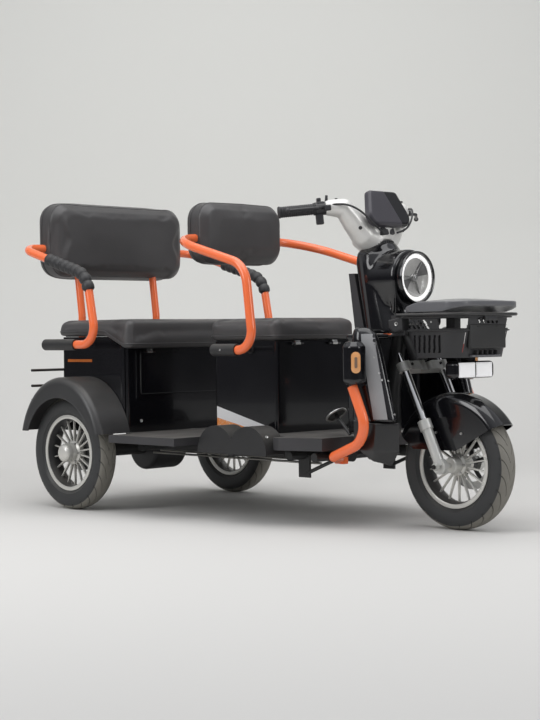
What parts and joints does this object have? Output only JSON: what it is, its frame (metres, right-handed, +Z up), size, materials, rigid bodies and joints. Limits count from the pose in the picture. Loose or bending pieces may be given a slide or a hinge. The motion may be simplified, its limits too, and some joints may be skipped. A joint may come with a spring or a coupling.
{
  "type": "electric scooter",
  "caption": "Electric passenger tricycle with a raked front fork, driver's seat, rear bench seat with storage below, bent armrests, leg shield, headlamp and lidded basket.",
  "frame": {"origin": "on the ground, under the middle of the vehicle's length and width", "axes": "+Z up, -Y forward, -X the vehicle's right side"},
  "size_m": [0.928, 1.99, 1.105],
  "materials": {
    "frame_black": "satin",
    "tube_orange": "gloss",
    "panel_black": "gloss",
    "panel_matte": "fine texture",
    "cushion": "grained",
    "rubber_black": "matte",
    "tyre": "matte",
    "alloy": "satin",
    "chrome": "polished",
    "steel": "brushed",
    "lens": "clear",
    "lens_red": "gloss",
    "battery": "matte"
  },
  "bodies": {
    "chassis": {"basket_rack": "frame_black", "basket_tub": "panel_matte", "battery_pack": "battery", "brake_pedal": "steel", "brake_rods": "steel", "crash_bars": "tube_orange", "drive_motor": "frame_black", "driver_armrest_sleeves": "rubber_black", "driver_armrests": "tube_orange", "driver_backrest": "cushion", "driver_seat_box": "panel_black", "fog_lamps": "lens", "front_cowl": "panel_black", "front_floor_board": "panel_matte", "headlamp": "lens", "inner_leg_panel": "panel_matte", "leg_shield": "panel_black", "lower_cowl": "panel_matte", "main_frame": "frame_black", "rear_armrest_sleeves": "rubber_black", "rear_armrests": "tube_orange", "rear_axle_housing": "frame_black", "rear_backrest": "cushion", "rear_backrest_posts": "tube_orange", "rear_body": "panel_black", "rear_fenders": "panel_matte", "rear_floor_board": "panel_matte", "rear_leaf_springs": "frame_black", "rear_rack": "steel", "signal_boxes": "panel_black", "step_shells": "panel_matte", "tail_lamps": "lens_red"},
    "steering": {"fork_bridge": "alloy", "fork_stanchions": "chrome", "fork_sliders": "alloy", "front_fender": "panel_black", "handlebar": "frame_black", "grips": "rubber_black", "handlebar_cover": "alloy", "instrument_pod": "panel_black"},
    "wheel_front": {"front_tyre": "tyre", "front_rim": "alloy"},
    "wheel_rear_left": {"left_rear_tyre": "tyre", "left_rear_rim": "alloy"},
    "wheel_rear_right": {"right_rear_tyre": "tyre", "right_rear_rim": "alloy"},
    "driver_seat_lid": {"driver_cushion": "cushion"},
    "rear_seat_lid": {"rear_cushion": "cushion"},
    "basket_cover": {"basket_lid": "panel_black"}
  },
  "joints": [
    {"name": "steering_turn", "type": "hinge", "parent": "chassis", "child": "steering", "pos_m": [0, -0.79059, 0.2], "axis": [0, 0.4226, 0.9063], "range_deg": [-38, 38]},
    {"name": "front_wheel_spin", "type": "hinge", "parent": "steering", "child": "wheel_front", "pos_m": [0, -0.795, 0.2], "axis": [1, 0, 0], "continuous": true},
    {"name": "rear_left_wheel_spin", "type": "hinge", "parent": "chassis", "child": "wheel_rear_left", "pos_m": [0.3875, 0.627, 0.2], "axis": [1, 0, 0], "continuous": true},
    {"name": "rear_right_wheel_spin", "type": "hinge", "parent": "chassis", "child": "wheel_rear_right", "pos_m": [-0.3875, 0.627, 0.2], "axis": [1, 0, 0], "continuous": true},
    {"name": "driver_seat_lift", "type": "hinge", "parent": "chassis", "child": "driver_seat_lid", "pos_m": [0, -0.192, 0.578], "axis": [1, 0, 0], "range_deg": [0, 58]},
    {"name": "rear_seat_lift", "type": "hinge", "parent": "chassis", "child": "rear_seat_lid", "pos_m": [0, 0.418, 0.554], "axis": [1, 0, 0], "range_deg": [0, 62]},
    {"name": "basket_lid_lift", "type": "hinge", "parent": "chassis", "child": "basket_cover", "pos_m": [0, -0.686, 0.662], "axis": [-1, 0, 0], "range_deg": [0, 68]}
  ]
}
